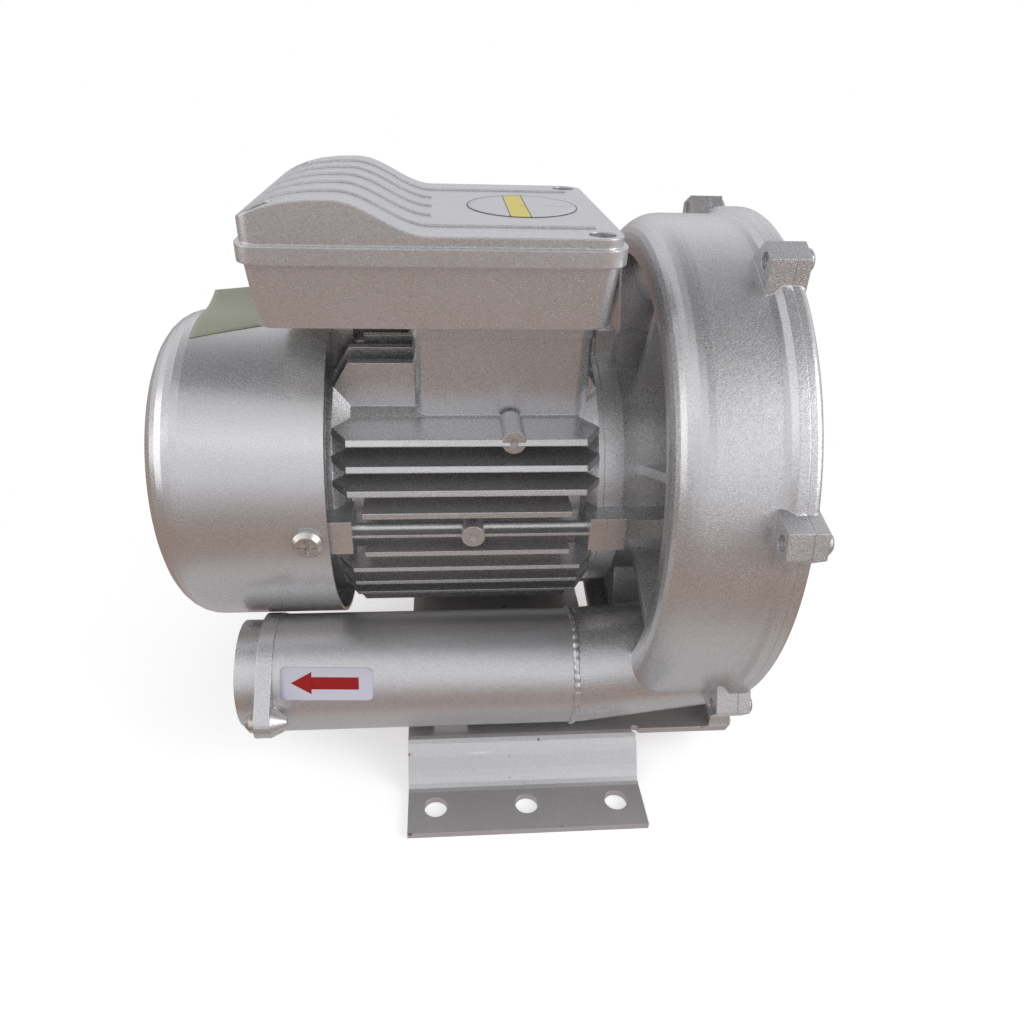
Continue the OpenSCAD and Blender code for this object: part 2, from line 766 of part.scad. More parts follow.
// Values of the motor's inside
shield_t = 12;
shield_web_t = 4;
shield_hub_len = 19;
shield_hub_x0 = motor_x0 - shield_hub_len;
washer_t = 1.4;
fan_bearing_offset = 15;
fan_bearing_x = motor_x0 - fan_bearing_offset;
end_turn_len = 15;
end_turn_r = 42;
end_turn_in = 29;
end_turn_round = 4;
core_x0 = (motor_x0 + stator_x1 - core_len) / 2;
core_x1 = core_x0 + core_len;
rotor_bore_r = 10;
end_ring_out = 25;
end_ring_in = 15;
end_ring_len = 6;
ball_pitch_r = 12.5;
ball_r = 2.95;
ball_gap = 0.1;
ball_count = 8;
inner_ring_r = 10.3;
outer_ring_in = 14.7;
cage_r = 11.3;
cage_out = 13.7;
cage_w = 8.4;
cowl_screw_offset = 7.3;
cowl_screw_x = motor_x0 - cowl_screw_offset;
cowl_screw_len = 7.8;
cowl_head_h = 3.4;
tie_head_h = 4;
tie_head_across = 8;

module stator_core() {
  color("dimgray") ring(core_x0, core_x1, shell_r - shell_wall - seat_gap, rotor_r + air_gap);
}

module stator_windings() {
  color("peru") for (x = [core_x0 - end_turn_len, core_x1])
    on_shaft(x + end_turn_len / 2) rotate_extrude()
      translate([(end_turn_r + end_turn_in) / 2, 0])
        round_rect(end_turn_r - end_turn_in, end_turn_len, end_turn_round);
}

module fan_end_shield() {
  color("dimgray") difference() {
    union() {
      on_shaft(motor_x0 - shield_t) cylinder(r = end_ring_r, h = shield_t);
      on_shaft(shield_hub_x0) cylinder(r = bearing_r_out + seat_wall, h = motor_x0 - shield_hub_x0);
      on_shaft(motor_x0 - shield_t) intersection() {
        cylinder(r = cowl_r - cowl_t - seat_gap, h = shield_t);
        for (a = quarter_turns) at_angle(a) translate([shell_r - root_sink, -lug_w / 2, 0])
          cube([cowl_r - shell_r + root_sink, lug_w, shield_t]);
      }
    }
    ring(motor_x0 - shield_t + shield_web_t, motor_x0 + cut, shell_r - shell_wall,
         bearing_r_out + seat_wall);
    on_shaft(fan_bearing_x - washer_t) cylinder(r = bearing_r_out + seat_gap, h = shield_t * 2);
    on_shaft(shield_hub_x0 - cut) cylinder(r = shaft_r + root_sink, h = shield_t * 2);
    on_shaft(motor_x0 - shield_t - cut) for (a = quarter_turns) at_angle(a) translate([tie_r, 0, 0])
      cylinder(r = tie_bolt_r + seat_gap, h = shield_t + 2 * cut);
    on_shaft(cowl_screw_x) for (a = quarter_turns) at_angle(a)
      translate([cowl_r - cowl_screw_len, 0, 0]) rotate([0, 90, 0])
        cylinder(r = bolt_r + seat_gap, h = cowl_screw_len);
  }
}

// Half-section of a ball track, and the rings on both sides of it
module track() {
  translate([ball_pitch_r, bearing_w / 2]) circle(r = ball_r + ball_gap);
}
module bearing_ring(x0, r_in, r_out) {
  on_shaft(x0) rotate_extrude() difference() {
    translate([r_in, 0]) square([r_out - r_in, bearing_w]);
    track();
  }
}
module bearing_outer_rings() {
  color("gray") for (x = [fan_bearing_x, drive_bearing_x]) bearing_ring(x, outer_ring_in, bearing_r_out);
}
module bearing_inner_rings() {
  color("gray") for (x = [fan_bearing_x, drive_bearing_x]) bearing_ring(x, shaft_r + seat_gap, inner_ring_r);
}

module ball_places() {
  for (x = [fan_bearing_x, drive_bearing_x], i = [0:ball_count - 1])
    on_shaft(x + bearing_w / 2) at_angle(i * 360 / ball_count) translate([ball_pitch_r, 0, 0]) children();
}
module bearing_balls() color("lightgray") ball_places() sphere(r = ball_r);
module bearing_cages() {
  color("goldenrod") difference() {
    for (x = [fan_bearing_x, drive_bearing_x])
      ring(x + (bearing_w - cage_w) / 2, x + (bearing_w + cage_w) / 2, cage_out, cage_r);
    ball_places() rotate([0, 90, 0]) translate([0, 0, -ball_r])
      cylinder(r = ball_r + ball_gap, h = 2 * ball_r);
  }
}

module wave_washer() {
  color("gray") ring(fan_bearing_x - washer_t + seat_gap, fan_bearing_x, bearing_r_out - seat_gap, outer_ring_in);
}

module shaft_seal() {
  color("black") ring(seal_x, seal_x + seal_t, seal_r, shaft_r + run_gap);
}

module tie_bolts() {
  color("gray") for (a = quarter_turns) on_shaft(motor_x0 - shield_t) at_angle(a)
    translate([tie_r, 0, 0]) rotate([180, 0, 0])
      hex_bolt(tie_bolt_r, tie_head_across, tie_head_h, shield_t + stator_len + mount_ring_len);
}

// Values of the fan and its cowl
grille_r = cowl_r - cowl_bend - grille_hole_r - cowl_t;
grille_rings = floor(grille_r / grille_pitch);
fan_gap = 21;
fan_len = 23;
fan_x1 = motor_x0 - fan_gap;
fan_x0 = fan_x1 - fan_len;
fan_hub_r = 13;
fan_disc_t = 3;
fan_disc_share = 0.8;
fan_blade_t = 2;
fan_shaft_r = 6;
fan_clip_t = 2;
fan_clip_w = 5;

function cowl_line(in) = concat(
  [[0, cowl_x0 + (in > 0 ? cut : 0)], [cowl_r - in, cowl_x0 + (in > 0 ? cut : 0)]],
  arc([cowl_r - cowl_bend, cowl_x1 + cowl_bend], cowl_bend - in, 0, -90),
  [[0, cowl_x1 + in]]
);

// One round of grille holes, six more than the one inside it
module grille_holes() {
  cylinder(r = grille_hole_r, h = cowl_t + 2 * cut);
  for (k = [1:grille_rings], i = [0:6 * k - 1]) rotate([0, 0, i * 60 / k])
    translate([k * grille_pitch, 0, 0]) cylinder(r = grille_hole_r, h = cowl_t + 2 * cut);
}

module fan_cowl() {
  color("silver") difference() {
    on_shaft() rotate_extrude() polygon(cowl_line(0));
    on_shaft() rotate_extrude() polygon(cowl_line(cowl_t));
    on_shaft(cowl_x1 - cut) grille_holes();
    on_shaft(cowl_screw_x) for (a = quarter_turns) at_angle(a)
      translate([cowl_r - cowl_screw_len, 0, 0]) rotate([0, 90, 0])
        cylinder(r = bolt_r + seat_gap, h = cowl_screw_len + cut);
  }
}

module cowl_screws() {
  color("gray") on_shaft(cowl_screw_x) for (a = quarter_turns) at_angle(a)
    translate([cowl_r, 0, 0]) rotate([0, 90, 0])
      pan_screw(bolt_r, cowl_head_r, cowl_head_h, cowl_screw_len);
}

module cooling_fan() {
  color("dimgray") difference() {
    union() {
      on_shaft(fan_x0) cylinder(r = fan_hub_r, h = fan_x1 - fan_x0);
      on_shaft(fan_x1 - fan_disc_t) cylinder(r = fan_r * fan_disc_share, h = fan_disc_t);
      on_shaft(fan_x0 + fan_clip_w + fan_disc_t) for (i = [0:fan_blades - 1]) at_angle(i * 360 / fan_blades)
        translate([fan_hub_r - root_sink, -fan_blade_t / 2, 0])
          cube([fan_r - fan_hub_r + root_sink, fan_blade_t,
                fan_x1 - fan_x0 - fan_clip_w - fan_disc_t - fan_disc_t / 2]);
    }
    on_shaft(fan_x0 - cut) cylinder(r = fan_shaft_r + seat_gap, h = fan_x1 - fan_x0 + 2 * cut);
  }
}

module fan_clip() {
  color("gray") ring(fan_x0 + cut, fan_x0 + cut + fan_clip_w, fan_hub_r + fan_clip_t, fan_hub_r + seat_gap);
}

// Values of the shaft and the rotor
shaft_end_inset = 2;
shaft_x0 = fan_x0 + shaft_end_inset;
hub_back_gap = 1.5;
hub_front_gap = 5.8;
hub_x0 = channel_x + hub_back_gap;
hub_x1 = joint_x - hub_front_gap;
seat_r = 7;
key_w = 4;
key_h = 5;
key_len = 10;
hub_r = 14;
retainer_r = 11;
retainer_t = 2;
retainer_screw_r = 2.5;
retainer_head_r = 4.5;
retainer_head_h = 2.6;
retainer_screw_len = 14;

module key_form(gap) {
  on_shaft(hub_x0 + cut) at_angle(90)
    translate([seat_r - key_h / 2 - gap, -key_w / 2 - gap, -gap])
      cube([key_h + 2 * gap, key_w + 2 * gap, key_len + 2 * gap]);
}

module motor_shaft() {
  color("lightgray") difference() {
    on_shaft() rotate_extrude() polygon([
      [0, shaft_x0],
      [fan_shaft_r, shaft_x0],
      [fan_shaft_r, fan_x1],
      [shaft_r, fan_x1],
      [shaft_r, fan_bearing_x + bearing_w],
      [rotor_bore_r, fan_bearing_x + bearing_w],
      [rotor_bore_r, drive_bearing_x],
      [shaft_r, drive_bearing_x],
      [shaft_r, hub_x0],
      [seat_r, hub_x0],
      [seat_r, hub_x1 - seat_gap],
      [0, hub_x1 - seat_gap]
    ]);
    key_form(seat_gap);
    on_shaft(hub_x1 - retainer_screw_len + retainer_t)
      cylinder(r = retainer_screw_r + seat_gap, h = retainer_screw_len);
  }
}

module rotor_core() {
  color("dimgray") ring(core_x0, core_x1, rotor_r, rotor_bore_r + seat_gap);
}

module rotor_end_rings() {
  color("silver") for (x = [core_x0 - end_ring_len, core_x1])
    ring(x, x + end_ring_len, end_ring_out, end_ring_in);
}

module vane_ring_section() {
  intersection() {
    translate([channel_pitch_r, channel_x]) circle(r = channel_r + impeller_gap);
    translate([channel_pitch_r - bulge_r, channel_x + impeller_gap]) square([2 * bulge_r, impeller_t]);
  }
}

module impeller_body() {
  x0 = channel_x + impeller_gap;
  x1 = joint_x - impeller_gap;
  in_r = channel_pitch_r - channel_r - 2 * vane_t;
  on_shaft() rotate_extrude() difference() {
    union() {
      translate([in_r, x0]) square([impeller_r - in_r, x1 - x0]);
      translate([seat_r + seat_gap, hub_x1 - disc_t]) square([in_r, disc_t]);
      translate([seat_r + seat_gap, hub_x0]) square([hub_r - seat_r, hub_x1 - hub_x0]);
    }
    translate([channel_pitch_r, channel_x]) circle(r = channel_r);
  }
}

// Slanted vanes that divide the ring's round pocket
module vanes() {
  intersection() {
    on_shaft() rotate_extrude() vane_ring_section();
    on_shaft(channel_x) for (i = [0:vane_count - 1]) at_angle(i * 360 / vane_count)
      translate([channel_pitch_r, 0, channel_r / 2]) rotate([vane_slant, 0, 0])
        cube([3 * channel_r, vane_t, 3 * channel_r], center = true);
  }
}

module impeller() {
  color("silver") difference() {
    union() {
      impeller_body();
      vanes();
    }
    key_form(seat_gap);
  }
}

module impeller_key() color("gray") key_form(0);

module impeller_washer() {
  color("gray") ring(hub_x1, hub_x1 + retainer_t, retainer_r, retainer_screw_r + seat_gap);
}

module impeller_screw() {
  color("gray") on_shaft(hub_x1 + retainer_t)
    pan_screw(retainer_screw_r, retainer_head_r, retainer_head_h, retainer_screw_len);
}

// Values of the terminal box
box_gap = 14.8;
box_x1 = casing_x0 - box_gap;
box_x0 = box_x1 - box_len;
box_mid_x = box_x0 + box_len / 2;
box_corner = 10;
band_t = 2;
band_lap = 1;
lid_inset = 1.8;
tub_top_h = box_floor_h + tub_h;
box_gasket_t = 0.6;
lid_x0 = tub_top_h + box_gasket_t;
lid_band_top = lid_x0 + band_h - band_lap;
lid_flat_top = lid_band_top + lid_flat_h;
post_r = 5;
post_inset = 9.5;
post_x = box_len / 2 - post_inset;
post_y = box_w / 2 - post_inset;
lid_screw_r = 2;
lid_head_r = 3.6;
lid_head_h = 2.4;
lid_seat_h = 3;
lid_screw_len = 14;
line_t = 1.3;
line_h = 0.6;
line_end_inset = 10;
crest_share = 0.245;
crest_end_share = 0.49;
left_drop_share = 0.6;
lid_end_shares = [0.12, 0.3, 0.5, 0.75];
crest_steps = 14;
gland_inset = 30.25;
gland_lift = 11.5;
gland_x = box_x1 - gland_inset;
gland_h = box_floor_h + gland_lift;
gland_r = 8;
gland_bore_r = 5.5;
gland_out = 20;
gland_hex_across = 22;
gland_hex_t = 6;
gland_nut_t = 4;
insert_bore_r = 4;

// Plan of the box, drawn in from its rim by a distance
module box_plan(inset) {
  round_rect(box_len - 2 * inset, box_w - 2 * inset, box_corner - inset);
}

module post_places() {
  for (x = [-1, 1], y = [-1, 1]) translate([box_mid_x + x * post_x, y * post_y, 0]) children();
}

module tub_form(inset, z0, z1) {
  hull() {
    translate([box_mid_x, 0, z0]) linear_extrude(slice)
      round_rect(box_len - 2 * inset - 2 * tub_draft, box_w - 2 * inset - 2 * tub_draft,
                 box_corner - inset, $fn = 32);
    translate([box_mid_x, 0, z1 - slice]) linear_extrude(slice)
      round_rect(box_len - 2 * inset, box_w - 2 * inset, box_corner - inset, $fn = 32);
  }
}

module terminal_box() {
  shell_in = band_t + seat_gap;
  color("silver") difference() {
    union() {
      difference() {
        tub_form(shell_in, box_floor_h, tub_top_h);
        tub_form(shell_in + box_wall, box_floor_h + box_wall, tub_top_h + cut);
      }
      intersection() {
        post_places() translate([0, 0, box_floor_h]) cylinder(r = post_r + box_wall / 2, h = tub_h);
        tub_form(shell_in, box_floor_h, tub_top_h);
      }
    }
    post_places() translate([0, 0, lid_x0 + lid_seat_h - lid_screw_len])
      cylinder(r = lid_screw_r + seat_gap, h = lid_screw_len);
    wire_duct(box_floor_h - cut, box_wall + 2 * cut);
    box_screw_places() translate([0, 0, box_floor_h - cut])
      cylinder(r = box_screw_r + seat_gap, h = box_wall + 2 * cut);
    translate([earth_x, earth_y, box_floor_h - cut]) cylinder(r = screw_r + seat_gap, h = box_wall + 2 * cut);
    translate([gland_x, box_w / 2 - 3 * box_wall, gland_h]) rotate([-90, 0, 0])
      cylinder(r = gland_r + seat_gap, h = 4 * box_wall);
  }
}

module box_foot_gasket() {
  color("black") difference() {
    translate([neck_mid_x, 0, neck_top_h]) linear_extrude(foot_gasket_t)
      round_rect(neck_len, neck_w, neck_corner);
    wire_duct(neck_top_h - cut, foot_gasket_t + 2 * cut);
    box_screw_places() translate([0, 0, neck_top_h - cut])
      cylinder(r = box_screw_r + seat_gap, h = foot_gasket_t + 2 * cut);
  }
}

module box_screws() {
  color("gray") box_screw_places() translate([0, 0, box_floor_h + box_wall])
    pan_screw(box_screw_r, 2 * box_screw_r, box_screw_r, box_wall + foot_gasket_t + box_screw_depth);
}

module box_gasket() {
  in = band_t + 2 * seat_gap;
  color("black") translate([0, 0, tub_top_h]) difference() {
    translate([box_mid_x, 0, 0]) linear_extrude(box_gasket_t) box_plan(in);
    translate([box_mid_x, 0, -cut]) linear_extrude(box_gasket_t + 2 * cut) difference() {
      box_plan(in + box_wall);
      for (x = [-1, 1], y = [-1, 1]) translate([x * post_x, y * post_y]) circle(r = post_r);
    }
    post_places() translate([0, 0, -cut]) cylinder(r = lid_screw_r + seat_gap, h = box_gasket_t + 2 * cut);
  }
}

// Side view of the lid's top, drawn in by a distance: from the hump's end,
// over its crest and down to the flat part
function lid_top(in) = let (
    x0 = box_x0 + lid_inset + in,
    x1 = box_x1 - lid_inset - in,
    crest_x = box_x0 + box_len * crest_share,
    foot_x = box_x0 + box_len * crest_end_share,
    z0 = lid_flat_top - in
  ) concat(
    [[x0, z0 + lid_hump_h * (1 - left_drop_share)]],
    [for (s = lid_end_shares)
      [x0 + (crest_x - x0) * s, z0 + lid_hump_h * (1 - left_drop_share * pow(1 - s, 2.6))]],
    [for (i = [0:crest_steps]) let (s = i / crest_steps)
      [crest_x + (foot_x - crest_x) * s, z0 + lid_hump_h * ease(s)]],
    [[x1, z0]]
  );

module lid_form(in) {
  intersection() {
    translate([box_mid_x, 0, lid_x0]) linear_extrude(box_w) box_plan(lid_inset + in);
    translate([0, box_w / 2, 0]) rotate([90, 0, 0]) linear_extrude(box_w)
      polygon(concat([[box_x1, lid_x0 - cut], [box_x0, lid_x0 - cut]], lid_top(in)));
  }
}

// A raised line over the hump, to x1
module lid_line(y, x1) {
  x0 = box_x0 + lid_inset + line_end_inset / 2;
  intersection() {
    translate([0, y + line_t / 2, 0]) rotate([90, 0, 0]) linear_extrude(line_t)
      polygon(concat([[box_x1, lid_band_top], [box_x0, lid_band_top]],
                     [for (p = lid_top(0)) p + [0, line_h]]));
    translate([x0, y - line_t, lid_band_top]) cube([x1 - x0, 2 * line_t, 2 * lid_hump_h + lid_flat_h]);
  }
}

module terminal_box_lid() {
  half = (lid_lines - 1) / 2;
  foot_x = box_x0 + box_len * crest_end_share;
  color("silver") difference() {
    union() {
      translate([box_mid_x, 0, tub_top_h - band_lap]) linear_extrude(band_h + box_gasket_t) box_plan(0);
      lid_form(0);
      for (k = [-half:half])
        lid_line(k * lid_line_pitch, abs(k) == half ? box_x1 - line_end_inset : foot_x);
    }
    difference() {
      lid_form(box_wall);
      post_places() translate([0, 0, lid_x0]) cylinder(r = post_r + box_wall / 2, h = lid_hump_h * 2);
    }
    translate([box_mid_x, 0, tub_top_h - band_lap - cut]) linear_extrude(band_lap + box_gasket_t + cut)
      box_plan(band_t);
    post_places() translate([0, 0, lid_x0 - cut])
      cylinder(r = lid_screw_r + seat_gap, h = lid_hump_h * 2);
    post_places() translate([0, 0, lid_x0 + lid_seat_h]) cylinder(r = post_r, h = lid_hump_h * 2);
  }
}

module lid_screws() {
  color("gray") post_places() translate([0, 0, lid_x0 + lid_seat_h])
    pan_screw(lid_screw_r, lid_head_r, lid_head_h, lid_screw_len);
}

// Values of what the box holds
capacitor_r = 17;
capacitor_len = 78;
capacitor_x = box_x0 + box_len * crest_share;
clamp_t = 1.4;
clamp_w = 12;
clamp_foot = 8;
block_len = 36;
block_w = 20;
block_h = 11;
block_wall = 2;
block_ways = 3;
block_shift = 3;
block_x = neck_mid_x + block_shift;
block_y = -12;
stud_r = 2;
stud_nut_r = 3.4;
stud_h = 15;
earth_shift = 12;
earth_inset = 22.5;
earth_x = neck_mid_x - earth_shift;
earth_y = earth_inset - box_w / 2;

module run_capacitor() {
  color("whitesmoke")
    translate([capacitor_x, -capacitor_len / 2, box_floor_h + box_wall + capacitor_r + clamp_t])
    rotate([-90, 0, 0]) cylinder(r = capacitor_r, h = capacitor_len);
}

module capacitor_clamp() {
  z = box_floor_h + box_wall + capacitor_r + clamp_t;
  color("gray") translate([capacitor_x, -clamp_w / 2, 0]) difference() {
    union() {
      translate([0, 0, z]) rotate([-90, 0, 0]) cylinder(r = capacitor_r + clamp_t, h = clamp_w);
      translate([-capacitor_r - clamp_foot, 0, box_floor_h + box_wall])
        cube([2 * (capacitor_r + clamp_foot), clamp_w, clamp_t]);
    }
    translate([0, -cut, z]) rotate([-90, 0, 0])
      cylinder(r = capacitor_r + seat_gap, h = clamp_w + 2 * cut);
  }
}

module terminal_block() {
  way = block_len / block_ways;
  color("saddlebrown") translate([block_x - block_len / 2, block_y - block_w / 2, box_floor_h + box_wall])
    difference() {
      cube([block_len, block_w, block_h]);
      for (i = [0:block_ways - 1]) translate([i * way + block_wall, -cut, block_h / 2])
        cube([way - 2 * block_wall, block_w + 2 * cut, block_h]);
      for (i = [0:block_ways - 1], y = [1, 3]) translate([(i + 0.5) * way, y * block_w / 4, block_wall])
        cylinder(r = stud_r + seat_gap, h = block_h);
    }
}

module terminal_studs() {
  way = block_len / block_ways;
  color("goldenrod") translate([block_x - block_len / 2, block_y - block_w / 2, box_floor_h + box_wall])
    for (i = [0:block_ways - 1], y = [1, 3]) translate([(i + 0.5) * way, y * block_w / 4, 0]) {
      translate([0, 0, block_wall]) cylinder(r = stud_r, h = stud_h - block_wall);
      translate([0, 0, block_h / 2]) difference() {
        cylinder(r = stud_nut_r, h = stud_r, $fn = 6);
        translate([0, 0, -cut]) cylinder(r = stud_r - seat_gap, h = stud_r + 2 * cut);
      }
    }
}

module earth_screw() {
  color("goldenrod") translate([earth_x, earth_y, box_floor_h + box_wall])
    pan_screw(screw_r, 2 * screw_r, screw_r, box_wall);
}

module cable_gland() {
  y0 = box_w / 2 - band_t;
  color("dimgray") translate([gland_x, 0, gland_h]) rotate([-90, 0, 0]) difference() {
    union() {
      translate([0, 0, y0 - 3 * box_wall]) cylinder(r = gland_r, h = gland_out);
      translate([0, 0, y0]) cylinder(r = gland_hex_across / sqrt(3), h = gland_hex_t, $fn = 6);
      translate([0, 0, y0 + gland_hex_t]) cylinder(r = gland_hex_across / 2 - cut, h = gland_out - gland_hex_t);
    }
    translate([0, 0, y0 - 4 * box_wall]) cylinder(r = gland_bore_r, h = 2 * gland_out);
  }
}

module gland_insert() {
  y0 = box_w / 2 - band_t;
  color("black") translate([gland_x, y0, gland_h]) rotate([-90, 0, 0]) difference() {
    cylinder(r = gland_bore_r - seat_gap, h = gland_out - cut);
    translate([0, 0, -cut]) cylinder(r = insert_bore_r, h = gland_out + cut);
  }
}

foot_bracket();
foot_bolts();
blower_housing();
blower_cover();
cover_seal();
cover_bolts();
outlet_silencer_tube();
inlet_silencer_tube();
outlet_port_flange();
inlet_port_flange();
outlet_foam_liner();
inlet_foam_liner();
silencer_seals();
port_screws();
stator_housing();
stator_core();
stator_windings();
fan_end_shield();
bearing_outer_rings();
bearing_inner_rings();
bearing_balls();
bearing_cages();
wave_washer();
shaft_seal();
tie_bolts();
fan_cowl();
cowl_screws();
cooling_fan();
fan_clip();
motor_shaft();
rotor_core();
rotor_end_rings();
impeller();
impeller_key();
impeller_washer();
impeller_screw();
terminal_box();
box_foot_gasket();
box_screws();
box_gasket();
terminal_box_lid();
lid_screws();
run_capacitor();
capacitor_clamp();
terminal_block();
terminal_studs();
earth_screw();
cable_gland();
gland_insert();
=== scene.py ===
import json
import math

import bpy
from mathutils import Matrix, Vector


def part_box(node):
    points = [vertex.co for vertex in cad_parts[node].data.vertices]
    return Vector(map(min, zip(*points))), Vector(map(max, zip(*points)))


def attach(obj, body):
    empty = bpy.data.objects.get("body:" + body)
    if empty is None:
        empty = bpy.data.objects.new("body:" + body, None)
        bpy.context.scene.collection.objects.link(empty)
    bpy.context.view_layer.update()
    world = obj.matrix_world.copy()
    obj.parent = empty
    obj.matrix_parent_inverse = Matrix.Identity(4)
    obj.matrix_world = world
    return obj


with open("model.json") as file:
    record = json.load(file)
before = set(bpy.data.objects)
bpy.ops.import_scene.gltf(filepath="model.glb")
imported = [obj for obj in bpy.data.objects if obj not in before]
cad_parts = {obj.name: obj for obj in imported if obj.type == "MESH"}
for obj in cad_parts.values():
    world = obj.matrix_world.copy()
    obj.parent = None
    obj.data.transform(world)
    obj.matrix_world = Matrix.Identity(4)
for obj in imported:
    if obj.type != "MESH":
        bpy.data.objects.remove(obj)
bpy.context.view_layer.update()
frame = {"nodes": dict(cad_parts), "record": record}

MM = 0.001


# Shader wiring

# The colour sockets of a Mix node
MIX_A, MIX_B, MIXED = 6, 7, 2
BEVEL_SAMPLES = 6


class Wire:
    """A shader socket. Arithmetic on it adds Math nodes to its finish."""

    def __init__(self, finish, socket):
        self.finish, self.socket = finish, socket

    def __add__(self, other):
        return self.finish.math("ADD", self, other)

    __radd__ = __add__

    def __mul__(self, other):
        return self.finish.math("MULTIPLY", self, other)

    __rmul__ = __mul__

    def __sub__(self, other):
        return self.finish.math("SUBTRACT", self, other)

    def __rsub__(self, other):
        return self.finish.math("SUBTRACT", other, self)

    def __truediv__(self, other):
        return self.finish.math("DIVIDE", self, other)

    def __pow__(self, other):
        return self.finish.math("POWER", self, other)

    def __gt__(self, other):
        return self.finish.math("GREATER_THAN", self, other)

    def __lt__(self, other):
        return self.finish.math("LESS_THAN", self, other)

    def size(self):
        return self.finish.math("ABSOLUTE", self)

    def root(self):
        return self.finish.math("SQRT", self)

    def clipped(self):
        return self.finish.math("MULTIPLY", self, 1.0, clamp=True)


class Tree:
    """Builds the nodes of one material or of the world."""

    def __init__(self, tree):
        self.tree = tree
        tree.nodes.clear()

    def node(self, kind, settings=None, inputs=None, output=0):
        """Adds a node: first its settings, then the values or links of its sockets."""
        node = self.tree.nodes.new(kind)
        for key, value in (settings or {}).items():
            if key == "stops":
                self.set_stops(node.color_ramp, value)
            else:
                setattr(node, key, value)
        for key, value in (inputs or {}).items():
            self.plug(node.inputs[key], value)
        return Wire(self, node.outputs[output]) if node.outputs else node

    def set_stops(self, ramp, stops):
        while len(ramp.elements) > 1:
            ramp.elements.remove(ramp.elements[-1])
        for i, (place, colour) in enumerate(stops):
            stop = ramp.elements[0] if i == 0 else ramp.elements.new(place)
            stop.position = place
            stop.color = (*colour, 1)

    def plug(self, socket, value):
        if isinstance(value, Wire):
            self.tree.links.new(value.socket, socket)
        elif isinstance(value, tuple) and len(value) == 3 and socket.type == "RGBA":
            socket.default_value = (*value, 1)
        else:
            socket.default_value = value

    def math(self, operation, a, b=None, clamp=False):
        inputs = {0: a} if b is None else {0: a, 1: b}
        return self.node("ShaderNodeMath", {"operation": operation, "use_clamp": clamp}, inputs)

    def mix(self, factor, a, b):
        """Mixes two colours."""
        inputs = {0: factor, MIX_A: a, MIX_B: b}
        return self.node("ShaderNodeMix", {"data_type": "RGBA"}, inputs, MIXED)

    def ramp(self, value, stops):
        return self.node("ShaderNodeValToRGB", {"stops": stops}, {0: value})


class Finish(Tree):
    """A procedural material on one Principled shader."""

    def __init__(self, name):
        self.material = bpy.data.materials.new(name)
        self.material.use_nodes = True
        super().__init__(self.material.node_tree)
        shader = self.node("ShaderNodeBsdfPrincipled")
        self.node("ShaderNodeOutputMaterial", inputs={"Surface": shader})
        self.inputs = shader.socket.node.inputs
        self.place = self.node("ShaderNodeTexCoord", output="Object")

    def set(self, **values):
        for key, value in values.items():
            self.plug(self.inputs[key.replace("_", " ")], value)
        return self

    def noise(self, scale, detail=2.0, rough=0.5, stretch=None):
        """A cloud pattern from 0 to 1, in waves per metre."""
        place = self.place
        if stretch:
            settings = {"operation": "MULTIPLY"}
            place = self.node("ShaderNodeVectorMath", settings, {0: place, 1: stretch})
        return self.node(
            "ShaderNodeTexNoise",
            inputs={"Vector": place, "Scale": scale, "Detail": detail, "Roughness": rough},
        )

    def flakes(self, scale):
        """A random number from 0 to 1 for each small cell."""
        inputs = {"Vector": self.place, "Scale": scale}
        cells = self.node("ShaderNodeTexVoronoi", inputs=inputs, output="Color")
        return self.node("ShaderNodeSeparateColor", inputs={0: cells})

    def axes(self):
        split = self.node("ShaderNodeSeparateXYZ", inputs={0: self.place})
        return [Wire(self, out) for out in split.socket.node.outputs]

    def bump(self, height, depth, edge=0.0):
        """A bump of that depth in metres, over edges rounded by that radius."""
        inputs = {"Height": height, "Distance": depth, "Strength": 1.0}
        if edge:
            settings = {"samples": BEVEL_SAMPLES}
            inputs["Normal"] = self.node("ShaderNodeBevel", settings, {"Radius": edge})
        self.set(Normal=self.node("ShaderNodeBump", inputs=inputs))
        return self


# Finishes

SILVER = (0.60, 0.595, 0.60)
RUST = (0.16, 0.085, 0.05)
BARE = (0.80, 0.80, 0.80)
DARKER, BRIGHTER = 0.55, 1.22
PAINT_METAL, PAINT_DEPTH = 0.85, 0.00007
# The paint's patterns, in waves per metre
FLAKES, GRIT, LUMPS, CLOUDS = 2600, 1500, 330, 28
RUST_SPECKS, WORN_AREAS, SCRATCHES = 210, 38, 90
# Where each pattern starts to show, and how sharply
RUST_LEVEL, RUST_SHARP, WORN_LEVEL = 0.66, 14, 0.55
SCRATCH_LEVEL, SCRATCH_SHARP, SCRATCH_SHARE = 0.64, 12, 0.5
SCRATCH_STRETCH = (0.35, 3.0, 3.0)
# How far clouds and flakes change the roughness
CLOUD_SHEEN, FLAKE_SHEEN, PLAIN_SHEEN = 0.10, 0.08, 0.12


def shades(colour, low, high):
    """A darker and a brighter tone of a colour."""
    dark = tuple(c * low for c in colour)
    bright = tuple(min(1.0, c * high) for c in colour)
    return dark, bright


